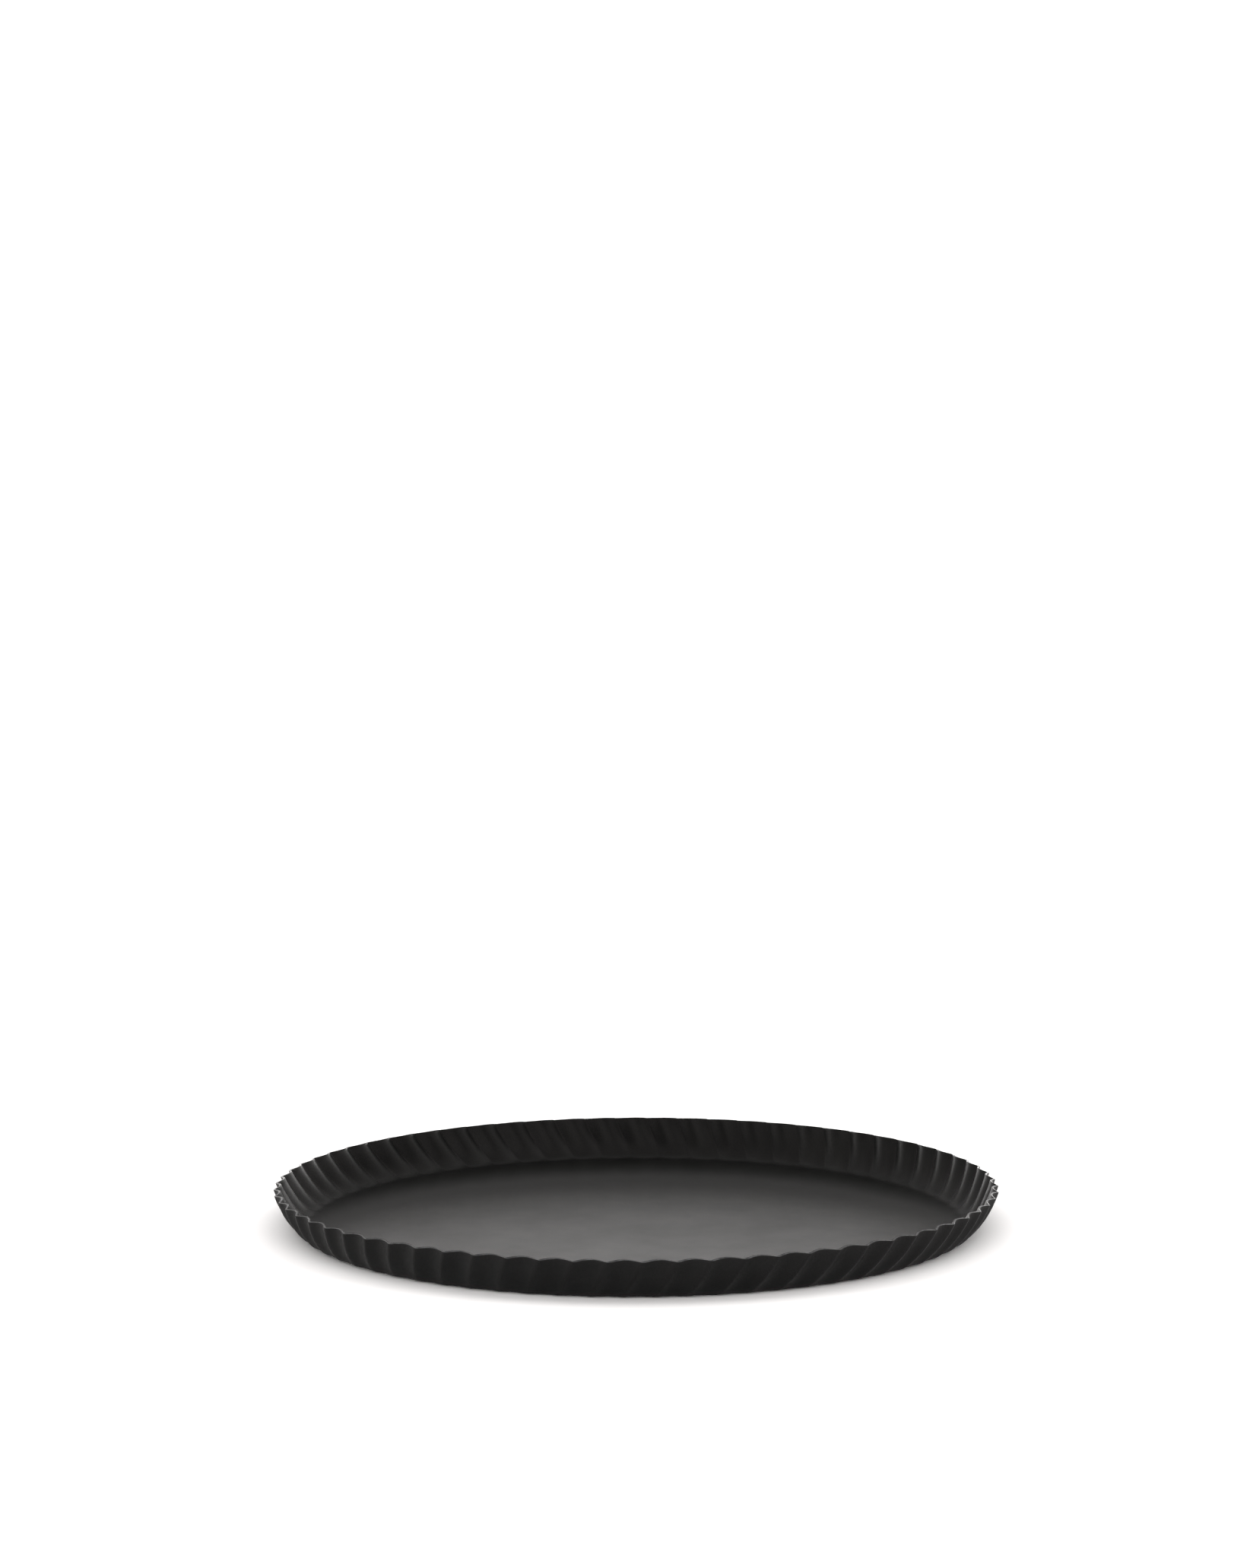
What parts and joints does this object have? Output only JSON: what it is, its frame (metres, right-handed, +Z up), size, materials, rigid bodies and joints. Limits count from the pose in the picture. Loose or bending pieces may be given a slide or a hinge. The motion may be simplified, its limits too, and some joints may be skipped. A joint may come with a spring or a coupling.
{
  "type": "tart pan",
  "caption": "Shallow round one-piece tart pan with a flat floor and a low flared wall of leaning flutes, matte black coated steel.",
  "frame": {"origin": "the middle of the underside, on the surface that the pan stands on", "axes": "+Z up out of the pan, -Y towards the front, +X to the right of a viewer at the front"},
  "size_m": [0.3199, 0.3199, 0.0187],
  "materials": {
    "bare_steel": "trimmed sheet edge, satin",
    "baking_coat": "fine-grained satin black non-stick coat",
    "outer_coat": "fine-grained matte black coat"
  },
  "bodies": {
    "root": {"steel_pressing": "bare_steel", "baking_side_coating": "baking_coat", "underside_coating": "outer_coat"}
  },
  "joints": []
}
